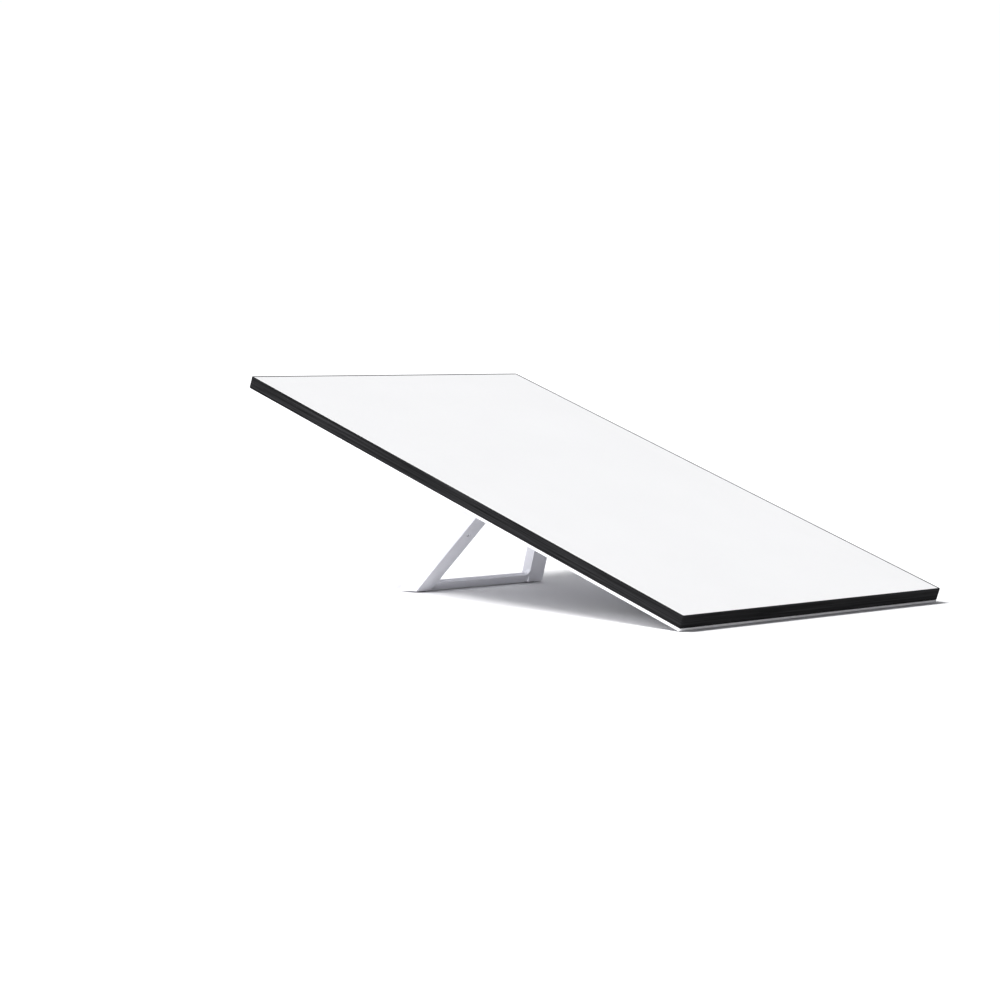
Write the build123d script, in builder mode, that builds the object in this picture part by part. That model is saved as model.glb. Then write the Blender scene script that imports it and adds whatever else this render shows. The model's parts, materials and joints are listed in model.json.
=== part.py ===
"""Flat-panel satellite antenna on a folding kickstand.

Row frame: millimetres, +Z up, the ground is z = 0, X runs along the panel's lower edge and the panel rises
towards +Y. The origin is the centre of the bounding box's bottom. The rest pose is the deployed one: the
panel's lower edge and the stand's two feet are on the ground.

The panel is drawn in its own plane: across (along X), up (up the slope, from the panel's centre) and depth
(behind the white front face). The stand is drawn in a second plane through its hinge axis.
"""

import os
from math import cos, radians, sin

from build123d import *

os.makedirs("parts", exist_ok=True)

# ---------------------------------------------------------------- driving dimensions (mm, degrees)
PANEL_WIDTH = 383.0
PANEL_LENGTH = 594.0
OVERALL_DEPTH = 39.7  # from the front face to the plateau on the back
TILT = 19.63  # slope of the panel above the ground
CORNER_RADIUS = 2.0

# the layers behind the front face, front to back
FACE_THICKNESS = 2.2
SPACER_THICKNESS = 3.4
PATCH_THICKNESS = 0.2
BOARD_THICKNESS = 2.0
CHIP_THICKNESS = 1.2
THERMAL_PAD_THICKNESS = 1.2
PLATE_THICKNESS = 2.0

# the rim: a black band, then the white edge of the rear cover
LIP_WIDTH = 1.6  # black lip around the white face
BAND_DEPTH = 11.8
EDGE_DEPTH = 14.9
RIM_CHAMFER = 1.1
GAP_HEIGHT, GAP_INSET = 0.6, 0.8  # shadow gap between the band and the rear cover
RIM_WIDTH = 11.0  # flat margin around the back, and the frame's inner width
FRAME_WALL = 2.3  # the band's thin outer wall, around the back plate
COVER_WALL = 2.4

# the raised back
PLATEAU_WIDTH = 230.0
PLATEAU_LENGTH = 424.0
FLANK_RADIUS = 8.0
PLATEAU_RADIUS = 18.0

# the stand
LEAN = 34.3  # of the stand's plane from the vertical
HINGE_UP = 77.0  # hinge axis above the panel's centre, up the slope
HINGE_DEPTH = 30.5
STAND_FRONT = 8.0  # front surface ahead of the hinge axis
STAND_BACK = 9.2  # back surface behind it, at the outer sides
STAND_BACK_INNER = 3.5  # back surface behind it, along the opening
HINGE_HALF_WIDTH = 44.6  # outer half width at the hinge axis
LEG_WIDTH = 21.2  # measured across, along X
SPLAY = 0.3738  # outward travel of each leg per mm of its length
LEG_REACH = 150.0  # drawn length, before the ground cuts it
CROSSBAR_HEIGHT = 9.3  # on the front face
CROSSBAR_THICKNESS = 4.7
CROSSBAR_FOOT_THICKNESS = 12.0  # where its slope would end
CROSSBAR_DRAFT = 6.5  # how far its front would fall back there
OPENING_RADIUS = 5.0
WEB_THICKNESS = 9.5
SOLE_HEIGHT = 0.8  # of the casting's sole above the ground
FOOT_RADIUS = 1.5
FOOT_PAD_THICKNESS = 2.0
FOOT_PAD_SIZE = (11.0, 8.5)

# the pocket that takes the folded stand
POCKET_CLEARANCE = 2.0
POCKET_FLOOR_GAP = 0.9
POCKET_TOP = 13.3  # above the hinge axis
POCKET_LENGTH = 144.0  # below the hinge axis
BUTTON_WELL_WIDTH = 120.0
BUTTON_WELL_DROP = 14.0  # below the hinge axis
CRADLE_WALL = 2.5
BEZEL_TOP_HALF, BEZEL_LOW_HALF = 70.0, 107.5  # half widths of the surround's face on the plateau
BEZEL_TOP_MARGIN, BEZEL_LOW_MARGIN = 4.0, 6.5  # above and below the pocket
BEZEL_CORNER = 5.0
BEZEL_WALL = 2.0

# the hinge, as distances from the centre along X
HUB_HALF = 22.6
HUB_WEB_HALF = 5.0
HUB_BUSH_LENGTH = 3.0
PIN_RADIUS = 4.0
PIN_END = 29.6
PRESS_TRAVEL = 6.2
KNUCKLE_START = 23.4
KNUCKLE_END = 46.0
KNUCKLE_BORE = 5.7
RUNNING_GAP = 0.05

# the cable inlet, in a trench that runs down the back to the lower rim
INLET_DEPTH = 25.5
INLET_MOUTH_UP = -190.0
INLET_BORE_RADIUS = 7.5
INLET_BORE_LENGTH = 16.0
INLET_BODY_HALF = 9.7
TRENCH_HALF_WIDTH = 12.0
TRENCH_FLOOR = 15.7
CHANNEL_TAIL = 6.0  # the channel's face reaches that far past its end wall

# ---------------------------------------------------------------- derived places
SPACER_TOP = FACE_THICKNESS
PATCH_TOP = SPACER_TOP + SPACER_THICKNESS
BOARD_TOP = PATCH_TOP + PATCH_THICKNESS
CHIP_TOP = BOARD_TOP + BOARD_THICKNESS
THERMAL_PAD_TOP = CHIP_TOP + CHIP_THICKNESS
PLATE_TOP = THERMAL_PAD_TOP + THERMAL_PAD_THICKNESS
PLATE_BACK = PLATE_TOP + PLATE_THICKNESS
COVER_INSIDE = OVERALL_DEPTH - COVER_WALL
POCKET_FLOOR = HINGE_DEPTH - STAND_FRONT - POCKET_FLOOR_GAP
CRADLE_FLOOR_TOP = POCKET_FLOOR - CRADLE_WALL

TILT_SIN, TILT_COS = sin(radians(TILT)), cos(radians(TILT))
LEAN_SIN, LEAN_COS = sin(radians(LEAN)), cos(radians(LEAN))

# the front face's lower edge, which puts the origin under the middle of the bounding box
EDGE_Y = -(PANEL_LENGTH * TILT_COS + (EDGE_DEPTH - RIM_CHAMFER) * TILT_SIN) / 2
EDGE_Z = EDGE_DEPTH * TILT_COS - RIM_CHAMFER * TILT_SIN

PANEL = Plane(
    origin=(0, EDGE_Y + PANEL_LENGTH / 2 * TILT_COS, EDGE_Z + PANEL_LENGTH / 2 * TILT_SIN),
    x_dir=(1, 0, 0),
    z_dir=(0, -TILT_SIN, TILT_COS),
)
FRONTWARD = Axis((0, 0, 0), (0, -TILT_SIN, TILT_COS))


def depth(distance):
    """The plane parallel to the front face and that far behind it. Its normal points to the front."""
    return PANEL.offset(-distance)


def across(height, behind, distance=0.0):
    """The plane square to X, at a height up the slope and a depth: its normal is +X."""
    at = PANEL.from_local_coords(Vector(distance, height, -behind))
    return Plane(origin=at, x_dir=(0, TILT_COS, TILT_SIN), z_dir=(1, 0, 0))


HINGE = PANEL.from_local_coords(Vector(0, HINGE_UP, -HINGE_DEPTH))
# x along X, y up the stand from the hinge axis, normal to the stand's front
STAND = Plane(origin=HINGE, x_dir=(1, 0, 0), z_dir=(0, -LEAN_COS, -LEAN_SIN))


def on_hinge(distance):
    """The plane square to the hinge axis at that distance along X."""
    return Plane(origin=(distance, HINGE.Y, HINGE.Z), x_dir=(0, 1, 0), z_dir=(1, 0, 0))


def turned(side, start, end, radius, bore=0.0, mode=Mode.ADD):
    """A disc or ring about the hinge axis, from start to end along X on one side (-1 or 1)."""
    with BuildSketch(on_hinge(side * start)) as section:
        Circle(radius)
        if bore:
            Circle(bore, mode=Mode.SUBTRACT)
    extrude(section.sketch, amount=side * (end - start), mode=mode)


def leg_half_width(reach):
    """Outer half width of the stand at that distance below its hinge axis."""
    return HINGE_HALF_WIDTH + SPLAY * reach


def leg_back_at(behind):
    """How far up the slope from the hinge axis an open leg's back is, at a depth behind the axis."""
    reach = (behind + STAND_BACK * sin(radians(LEAN - TILT))) / cos(radians(LEAN - TILT))
    return reach * sin(radians(LEAN - TILT)) + STAND_BACK * cos(radians(LEAN - TILT))


def stand_reach(height, behind_axis):
    """Distance below the hinge axis, in the stand's plane, of a height above the ground."""
    return (HINGE.Z - height + behind_axis * LEAN_SIN) / LEAN_COS


def pocket(grow):
    """Outline of the stand's pocket on the back, grown by that much: a trapezoid with two button wells."""
    with BuildSketch(mode=Mode.PRIVATE) as outline:
        top_half = HINGE_HALF_WIDTH + POCKET_CLEARANCE
        low_half = top_half + SPLAY * POCKET_LENGTH
        low = HINGE_UP - POCKET_LENGTH
        Polygon(
            (top_half, HINGE_UP),
            (-top_half, HINGE_UP),
            (-low_half, low),
            (low_half, low),
            align=None,
        )
        well_height = POCKET_TOP + BUTTON_WELL_DROP
        with Locations((0, HINGE_UP + POCKET_TOP - well_height / 2)):
            Rectangle(BUTTON_WELL_WIDTH, well_height)
        if grow:
            offset(amount=grow, kind=Kind.INTERSECTION)
    return outline.sketch


def bezel(grow=0.0):
    """Outline of the surround's face around the pocket, grown by that much."""
    top = HINGE_UP + POCKET_TOP + BEZEL_TOP_MARGIN
    low = HINGE_UP - POCKET_LENGTH - BEZEL_LOW_MARGIN
    with BuildSketch(mode=Mode.PRIVATE) as outline:
        Polygon(
            (BEZEL_TOP_HALF, top),
            (-BEZEL_TOP_HALF, top),
            (-BEZEL_LOW_HALF, low),
            (BEZEL_LOW_HALF, low),
            align=None,
        )
        if grow:
            offset(amount=grow, kind=Kind.INTERSECTION)
        fillet(outline.vertices(), BEZEL_CORNER + grow)
    return outline.sketch


def rim_screw_places(inset):
    """Six screws up each long side and four along each short side, that far in from the edge."""
    half_x, half_y = PANEL_WIDTH / 2 - inset, PANEL_LENGTH / 2 - inset
    long_side = [(x, y) for x in (-half_x, half_x) for y in (-260, -156, -52, 52, 156, 260)]
    short_side = [(x, y) for x in (-135, -45, 45, 135) for y in (-half_y, half_y)]
    return long_side + short_side


SCREW_INSET = 7.6
SCREW_RADIUS = 1.25
SCREW_HEAD_RADIUS = 2.4
SCREW_HEAD_HEIGHT = 1.6
SCREW_SEAT = EDGE_DEPTH - 1.9
SCREW_TIP = 5.0
RIM_SCREWS = rim_screw_places(SCREW_INSET)

# ---------------------------------------------------------------- front: face and frame
with BuildPart() as radome_face:
    with BuildSketch(depth(0)):
        RectangleRounded(PANEL_WIDTH - 2 * LIP_WIDTH - 0.1, PANEL_LENGTH - 2 * LIP_WIDTH - 0.1, 1.0)
    extrude(amount=-FACE_THICKNESS)

with BuildPart() as side_frame:
    with BuildSketch(depth(0)):
        RectangleRounded(PANEL_WIDTH, PANEL_LENGTH, CORNER_RADIUS)
    extrude(amount=-BAND_DEPTH)
    with BuildSketch(depth(0)):
        RectangleRounded(PANEL_WIDTH - 2 * LIP_WIDTH, PANEL_LENGTH - 2 * LIP_WIDTH, 1.05)
    extrude(amount=-FACE_THICKNESS, mode=Mode.SUBTRACT)
    # the shadow gap above the rear cover's edge
    with BuildSketch(depth(BAND_DEPTH - GAP_HEIGHT)):
        RectangleRounded(PANEL_WIDTH, PANEL_LENGTH, CORNER_RADIUS)
        RectangleRounded(PANEL_WIDTH - 2 * GAP_INSET, PANEL_LENGTH - 2 * GAP_INSET, 1.2, mode=Mode.SUBTRACT)
    extrude(amount=-GAP_HEIGHT, mode=Mode.SUBTRACT)
    with BuildSketch(depth(PLATE_TOP)):
        Rectangle(PANEL_WIDTH - 2 * FRAME_WALL, PANEL_LENGTH - 2 * FRAME_WALL)
    extrude(amount=PLATE_TOP - BAND_DEPTH, mode=Mode.SUBTRACT)
    with BuildSketch(depth(FACE_THICKNESS)):
        Rectangle(PANEL_WIDTH - 2 * RIM_WIDTH, PANEL_LENGTH - 2 * RIM_WIDTH)
    extrude(amount=FACE_THICKNESS - BAND_DEPTH, mode=Mode.SUBTRACT)
    with BuildSketch(depth(SCREW_TIP - 0.5)):
        with Locations(*RIM_SCREWS):
            Circle(SCREW_RADIUS + RUNNING_GAP)
    extrude(amount=SCREW_TIP - 0.5 - BAND_DEPTH, mode=Mode.SUBTRACT)

# ---------------------------------------------------------------- antenna stack inside the frame
STACK_WIDTH = PANEL_WIDTH - 2 * RIM_WIDTH - 1.0
STACK_LENGTH = PANEL_LENGTH - 2 * RIM_WIDTH - 1.0
CELL_PITCH = 50.0
CELL_COLUMNS, CELL_ROWS = 7, 11
GNSS_CELL = (0, (CELL_ROWS - 1) / 2 * CELL_PITCH)
cells = [
    ((column - (CELL_COLUMNS - 1) / 2) * CELL_PITCH, (row - (CELL_ROWS - 1) / 2) * CELL_PITCH)
    for column in range(CELL_COLUMNS)
    for row in range(CELL_ROWS)
]
antenna_cells = [cell for cell in cells if cell != GNSS_CELL]
CELL_RADIUS = 24.0
PATCH_RADIUS = 19.0

with BuildPart() as honeycomb_spacer:
    with BuildSketch(depth(SPACER_TOP)):
        Rectangle(STACK_WIDTH, STACK_LENGTH)
        with Locations(*cells):
            RegularPolygon(CELL_RADIUS, 6, mode=Mode.SUBTRACT)
    extrude(amount=-SPACER_THICKNESS)

with BuildPart() as antenna_patches:
    with BuildSketch(depth(PATCH_TOP)):
        with Locations(*antenna_cells):
            RegularPolygon(PATCH_RADIUS, 6)
    extrude(amount=-PATCH_THICKNESS)

LINK_UP = -110.0
LINK_WIDTH, LINK_HEIGHT = 44.0, 6.0

with BuildPart() as antenna_board:
    with BuildSketch(depth(BOARD_TOP)):
        Rectangle(STACK_WIDTH, STACK_LENGTH)
        with GridLocations(STACK_WIDTH - 8, STACK_LENGTH - 8, 2, 2):
            Circle(1.6, mode=Mode.SUBTRACT)
    extrude(amount=-BOARD_THICKNESS)

with BuildPart() as gnss_antenna:
    with BuildSketch(depth(BOARD_TOP - 2.6)):
        with Locations(GNSS_CELL):
            RectangleRounded(18, 18, 1.5)
    extrude(amount=-2.6)

CHIP_PITCH = 80.0
CHIP_COLUMNS, CHIP_ROWS = 4, 6
with BuildPart() as beamformer_chips:
    with BuildSketch(depth(CHIP_TOP)):
        with GridLocations(CHIP_PITCH, CHIP_PITCH, CHIP_COLUMNS, CHIP_ROWS):
            Rectangle(9, 9)
    extrude(amount=-CHIP_THICKNESS)

with BuildPart() as thermal_pads:
    with BuildSketch(depth(THERMAL_PAD_TOP)):
        with GridLocations(CHIP_PITCH, CHIP_PITCH, CHIP_COLUMNS, CHIP_ROWS):
            Rectangle(12, 12)
    extrude(amount=-THERMAL_PAD_THICKNESS)

# ---------------------------------------------------------------- back plate and what stands on it
CRADLE_SCREW_PLACES = [(-82, -50), (82, -50), (-30, 5), (30, 5), (-52, 84), (52, 84)]
BOARD_CENTRE = (0, -98)
BOARD_SIZE = (164, 50)
BOARD_UNDER = PLATE_BACK + 5.0
CONTROL_BOARD_THICKNESS = 1.6
board_corners = [
    (BOARD_CENTRE[0] + x * (BOARD_SIZE[0] / 2 - 5), BOARD_CENTRE[1] + y * (BOARD_SIZE[1] / 2 - 5))
    for x in (-1, 1)
    for y in (-1, 1)
]

with BuildPart() as back_plate:
    with BuildSketch(depth(PLATE_TOP)):
        Rectangle(PANEL_WIDTH - 2 * FRAME_WALL - 0.6, PANEL_LENGTH - 2 * FRAME_WALL - 0.6)
        with Locations(*RIM_SCREWS):
            Circle(SCREW_RADIUS + 0.25, mode=Mode.SUBTRACT)
        with Locations((0, LINK_UP)):
            Rectangle(LINK_WIDTH + 4, LINK_HEIGHT + 4, mode=Mode.SUBTRACT)
    extrude(amount=-PLATE_THICKNESS)

with BuildPart() as cradle_standoffs:
    with BuildSketch(depth(PLATE_BACK)):
        with Locations(*CRADLE_SCREW_PLACES):
            RegularPolygon(5.0, 6)
            Circle(2.05, mode=Mode.SUBTRACT)
    extrude(amount=PLATE_BACK - CRADLE_FLOOR_TOP)

with BuildPart() as board_standoffs:
    with BuildSketch(depth(PLATE_BACK)):
        with Locations(*board_corners):
            Circle(3.0)
            Circle(1.3, mode=Mode.SUBTRACT)
    extrude(amount=PLATE_BACK - BOARD_UNDER)

# ---------------------------------------------------------------- control board
BOARD_BACK = BOARD_UNDER + CONTROL_BOARD_THICKNESS

with BuildPart() as control_board:
    with BuildSketch(depth(BOARD_UNDER)):
        with Locations(BOARD_CENTRE):
            RectangleRounded(*BOARD_SIZE, 3)
        with Locations(*board_corners):
            Circle(1.5, mode=Mode.SUBTRACT)
    extrude(amount=-CONTROL_BOARD_THICKNESS)

with BuildPart() as board_screws:
    with BuildSketch(depth(BOARD_BACK)):
        with Locations(*board_corners):
            Circle(2.4)
    extrude(amount=-1.6)
    with BuildSketch(depth(BOARD_BACK)):
        with Locations(*board_corners):
            Circle(1.25)
    extrude(amount=5.0)

with BuildPart() as board_link_connector:
    with BuildSketch(depth(CHIP_TOP)):
        with Locations((0, LINK_UP)):
            Rectangle(LINK_WIDTH, LINK_HEIGHT)
    extrude(amount=CHIP_TOP - BOARD_UNDER)

with BuildPart() as processor:
    with BuildSketch(depth(BOARD_BACK)):
        with Locations((-8, -92)):
            Rectangle(24, 24)
    extrude(amount=-1.4)
    with BuildSketch(depth(BOARD_BACK + 1.4)):
        with Locations((-8, -92)):
            RectangleRounded(17, 17, 1)
    extrude(amount=-1.2)

with BuildPart() as heat_block:
    with BuildSketch(depth(PLATE_BACK)):
        with Locations((-8, -92)):
            Rectangle(26, 22)
    extrude(amount=PLATE_BACK - BOARD_UNDER)

with BuildPart() as shield_cans:
    with BuildSketch(depth(BOARD_BACK)):
        with Locations((-52, -98), (44, -98)):
            RectangleRounded(36, 30, 1.5)
    extrude(amount=-4.2)

with BuildPart() as power_inductors:
    with BuildSketch(depth(BOARD_BACK)):
        with Locations((71, -90), (71, -106)):
            RectangleRounded(11, 11, 1.5)
    extrude(amount=-6.5)

with BuildPart() as capacitors:
    with BuildSketch(depth(BOARD_BACK)):
        with Locations((11.5, -79), (20, -79), (-27, -79)):
            Circle(3.9)
    extrude(amount=-9.0)

# ---------------------------------------------------------------- rear cover
LABEL_PLACE, LABEL_SIZE, LABEL_RECESS = (66, -118), (62, 34), 0.3
VENT_PLACE, VENT_RADIUS, VENT_FLANGE = (-66, -118), 5.0, 1.2
SEAL_OUTER_INSET, SEAL_INNER_INSET, SEAL_THICKNESS = 2.9, 4.3, 1.0
GASKET_THICKNESS = 1.0


def frame_ring(outer_inset, inner_inset):
    """A rectangular ring around the panel between two distances in from its edge."""
    Rectangle(PANEL_WIDTH - 2 * outer_inset, PANEL_LENGTH - 2 * outer_inset)
    Rectangle(PANEL_WIDTH - 2 * inner_inset, PANEL_LENGTH - 2 * inner_inset, mode=Mode.SUBTRACT)


cavity_size = (PANEL_WIDTH - 2 * RIM_WIDTH, PANEL_LENGTH - 2 * RIM_WIDTH)
CHANNEL_WALL_END = INLET_MOUTH_UP + COVER_WALL
CHANNEL_START, CHANNEL_END = -283.0, CHANNEL_WALL_END + CHANNEL_TAIL


def channel_block(gap):
    """The space that the cable channel takes in the cover, with a gap around it."""
    with BuildSketch(depth(TRENCH_FLOOR - COVER_WALL - gap), mode=Mode.PRIVATE) as block:
        with Locations((0, (CHANNEL_END + CHANNEL_START) / 2)):
            Rectangle(2 * (TRENCH_HALF_WIDTH + COVER_WALL + gap), CHANNEL_END - CHANNEL_START + 2 * gap)
    return extrude(block.sketch, amount=-OVERALL_DEPTH, mode=Mode.PRIVATE)


with BuildPart() as raised_back:
    # the solid outer shape of the raised back
    with BuildSketch(depth(PLATE_BACK + 0.4)):
        RectangleRounded(*cavity_size, FLANK_RADIUS)
    extrude(amount=PLATE_BACK + 0.4 - EDGE_DEPTH)
    with BuildSketch(depth(EDGE_DEPTH)):
        RectangleRounded(*cavity_size, FLANK_RADIUS)
    with BuildSketch(depth(OVERALL_DEPTH)):
        RectangleRounded(PLATEAU_WIDTH, PLATEAU_LENGTH, PLATEAU_RADIUS)
    loft()

with BuildPart() as cover_cavity:
    # the space inside the cover
    with BuildSketch(depth(PLATE_BACK)):
        RectangleRounded(*cavity_size, FLANK_RADIUS)
    extrude(amount=-0.4)
    with BuildSketch(depth(PLATE_BACK + 0.4)):
        RectangleRounded(*cavity_size, FLANK_RADIUS)
    with BuildSketch(depth(COVER_INSIDE)):
        RectangleRounded(PLATEAU_WIDTH - 1, PLATEAU_LENGTH - 1, PLATEAU_RADIUS - 1)
    loft()
    # stiffening ribs under the plateau, either side of the pocket and above it
    with BuildSketch(depth(COVER_INSIDE - 3.0)):
        with Locations((0, 130), (0, 165)):
            Rectangle(PLATEAU_WIDTH, 1.6)
        with GridLocations(60, 1, 3, 1):
            with Locations((0, 153)):
                Rectangle(1.6, 94)
    extrude(amount=-3.0, mode=Mode.SUBTRACT)

with BuildPart() as rear_cover:
    with BuildSketch(depth(BAND_DEPTH)):
        RectangleRounded(PANEL_WIDTH, PANEL_LENGTH, CORNER_RADIUS)
    extrude(amount=BAND_DEPTH - EDGE_DEPTH)
    chamfer(rear_cover.faces().sort_by(FRONTWARD)[0].edges(), RIM_CHAMFER)
    add(raised_back.part)
    add(cover_cavity.part, mode=Mode.SUBTRACT)
    # the step that the back plate sits in, and the groove for the seal
    with BuildSketch(depth(BAND_DEPTH)):
        Rectangle(PANEL_WIDTH - 2 * FRAME_WALL, PANEL_LENGTH - 2 * FRAME_WALL)
    extrude(amount=BAND_DEPTH - PLATE_BACK, mode=Mode.SUBTRACT)
    with BuildSketch(depth(PLATE_BACK)):
        frame_ring(SEAL_OUTER_INSET, SEAL_INNER_INSET)
    extrude(amount=-SEAL_THICKNESS, mode=Mode.SUBTRACT)
    # rim screws: through holes with sunk seats
    with BuildSketch(depth(BAND_DEPTH)):
        with Locations(*RIM_SCREWS):
            Circle(SCREW_RADIUS + 0.15)
    extrude(amount=BAND_DEPTH - EDGE_DEPTH, mode=Mode.SUBTRACT)
    with BuildSketch(depth(SCREW_SEAT)):
        with Locations(*RIM_SCREWS):
            Circle(SCREW_HEAD_RADIUS + 0.2)
    extrude(amount=SCREW_SEAT - EDGE_DEPTH - 0.1, mode=Mode.SUBTRACT)
    add(channel_block(0.1), mode=Mode.SUBTRACT)
    # the surround's cut-out, the vent hole and the label's recess
    with BuildSketch(depth(COVER_INSIDE - 2)):
        add(bezel(0.4))
    extrude(amount=-(COVER_WALL + 3), mode=Mode.SUBTRACT)
    with BuildSketch(depth(COVER_INSIDE - 1)):
        with Locations(VENT_PLACE):
            Circle(VENT_RADIUS + 0.1)
    extrude(amount=-(COVER_WALL + 2), mode=Mode.SUBTRACT)
    with BuildSketch(depth(OVERALL_DEPTH - VENT_FLANGE)):
        with Locations(VENT_PLACE):
            Circle(VENT_RADIUS + 2.8)
    extrude(amount=-VENT_FLANGE, mode=Mode.SUBTRACT)
    with BuildSketch(depth(OVERALL_DEPTH - LABEL_RECESS)):
        with Locations(LABEL_PLACE):
            RectangleRounded(LABEL_SIZE[0] + 0.6, LABEL_SIZE[1] + 0.6, 2.3)
    extrude(amount=-1, mode=Mode.SUBTRACT)

# the channel that the cable lies in, flush with the raised back, with the inlet in its end wall
inlet_origin = PANEL.from_local_coords(Vector(0, INLET_MOUTH_UP - 1, -INLET_DEPTH))
INLET = Plane(origin=inlet_origin, x_dir=(1, 0, 0), z_dir=(0, TILT_COS, TILT_SIN))

with BuildPart() as cable_channel:
    add(channel_block(0))
    add(raised_back.part, mode=Mode.INTERSECT)
    with BuildSketch(depth(TRENCH_FLOOR)):
        with Locations((0, INLET_MOUTH_UP - 100)):
            Rectangle(2 * TRENCH_HALF_WIDTH, 200)
    extrude(amount=-OVERALL_DEPTH, mode=Mode.SUBTRACT)
    # past the end wall only the face is left
    with BuildSketch(depth(TRENCH_FLOOR - COVER_WALL)):
        with Locations((0, CHANNEL_WALL_END + CHANNEL_TAIL / 2)):
            Rectangle(2 * (TRENCH_HALF_WIDTH + COVER_WALL), CHANNEL_TAIL)
    extrude(amount=TRENCH_FLOOR - COVER_WALL - COVER_INSIDE, mode=Mode.SUBTRACT)
    with BuildSketch(INLET):
        Rectangle(2 * INLET_BODY_HALF + 0.2, 2 * INLET_BODY_HALF + 0.2)
    extrude(amount=COVER_WALL + 2, mode=Mode.SUBTRACT)

with BuildPart() as perimeter_seal:
    with BuildSketch(depth(PLATE_BACK)):
        frame_ring(SEAL_OUTER_INSET, SEAL_INNER_INSET)
    extrude(amount=-SEAL_THICKNESS)

with BuildPart() as cover_screws:
    with BuildSketch(depth(SCREW_TIP)):
        with Locations(*RIM_SCREWS):
            Circle(SCREW_RADIUS)
    extrude(amount=SCREW_TIP - SCREW_SEAT)
    with BuildSketch(depth(SCREW_SEAT)):
        with Locations(*RIM_SCREWS):
            Circle(SCREW_HEAD_RADIUS)
    extrude(amount=-SCREW_HEAD_HEIGHT)
    with BuildSketch(depth(SCREW_SEAT + SCREW_HEAD_HEIGHT)):
        with Locations(*RIM_SCREWS):
            RegularPolygon(1.2, 6)
    extrude(amount=1.0, mode=Mode.SUBTRACT)

with BuildPart() as vent_plug:
    with BuildSketch(depth(OVERALL_DEPTH - VENT_FLANGE)):
        with Locations(VENT_PLACE):
            Circle(VENT_RADIUS + 2.5)
    extrude(amount=0.1 - VENT_FLANGE)
    with BuildSketch(depth(COVER_INSIDE - 1.5)):
        with Locations(VENT_PLACE):
            Circle(VENT_RADIUS)
            Circle(VENT_RADIUS - 1.5, mode=Mode.SUBTRACT)
    extrude(amount=VENT_FLANGE - COVER_WALL - 1.5)
    with BuildSketch(depth(OVERALL_DEPTH - 0.6)):
        with Locations(VENT_PLACE):
            with PolarLocations(4.6, 6):
                Circle(0.7)
    extrude(amount=-1, mode=Mode.SUBTRACT)

with BuildPart() as rating_label:
    with BuildSketch(depth(OVERALL_DEPTH - LABEL_RECESS)):
        with Locations(LABEL_PLACE):
            RectangleRounded(*LABEL_SIZE, 2)
    extrude(amount=-0.2)

# ---------------------------------------------------------------- cable inlet
INLET_FLANGE_START = COVER_WALL + 1 + GASKET_THICKNESS
INLET_END = 24.0

CONTACT_THICKNESS = 0.8

with BuildPart() as inlet_socket:
    with BuildSketch(INLET):
        Rectangle(2 * INLET_BODY_HALF, 2 * INLET_BODY_HALF)
    extrude(amount=INLET_END)
    with BuildSketch(INLET.offset(INLET_FLANGE_START)):
        Rectangle(2 * INLET_BODY_HALF + 3.4, 2 * INLET_BODY_HALF + 3.4)
    extrude(amount=3.0)
    with BuildSketch(INLET):
        Circle(INLET_BORE_RADIUS)
    extrude(amount=INLET_BORE_LENGTH, mode=Mode.SUBTRACT)
    with BuildSketch(INLET.offset(INLET_BORE_LENGTH)):
        Rectangle(9.4, 3.2)
    extrude(amount=CONTACT_THICKNESS, mode=Mode.SUBTRACT)

with BuildPart() as inlet_contacts:
    with BuildSketch(INLET.offset(INLET_BORE_LENGTH + 0.1)):
        with GridLocations(1.1, 1, 8, 1):
            Rectangle(0.6, 3.0)
    extrude(amount=CONTACT_THICKNESS - 0.1)

with BuildPart() as inlet_gasket:
    with BuildSketch(INLET.offset(COVER_WALL + 1)):
        Rectangle(2 * INLET_BODY_HALF + 3.0, 2 * INLET_BODY_HALF + 3.0)
        Rectangle(2 * INLET_BODY_HALF + 0.2, 2 * INLET_BODY_HALF + 0.2, mode=Mode.SUBTRACT)
    extrude(amount=GASKET_THICKNESS)

# the lead from the inlet's back, bent down into the control board
LEAD_RADIUS, LEAD_BEND = 2.0, 5.0
LEAD_END_UP = -113.0
with BuildPart() as inlet_lead:
    with BuildLine() as lead_path:
        FilletPolyline(
            PANEL.from_local_coords(Vector(0, INLET_MOUTH_UP - 1 + INLET_END, -INLET_DEPTH)),
            PANEL.from_local_coords(Vector(0, LEAD_END_UP, -INLET_DEPTH)),
            PANEL.from_local_coords(Vector(0, LEAD_END_UP, -BOARD_BACK)),
            radius=LEAD_BEND,
        )
    with BuildSketch(Plane(origin=lead_path.line @ 0, z_dir=lead_path.line % 0)):
        Circle(LEAD_RADIUS)
    sweep()

# ---------------------------------------------------------------- cradle for the stand
FLANGE_TOP = COVER_INSIDE - GASKET_THICKNESS - BEZEL_WALL
CRADLE_SCREW_RADIUS, COUNTERSINK = 2.0, 2.0
HUB_DROP, HUB_BACK = 11.0, 38.9
HUB_SCREW_PLACES = [(0, HINGE_UP - 7.2), (0, HINGE_UP + 7.2)]
STOP_PAD_PLACE, STOP_PAD_WIDTH = 38.0, 12.0
STOP_PAD_START, STOP_PAD_END = 2.5, 8.7  # depth behind the hinge axis
STOP_GAP = 0.3

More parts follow.
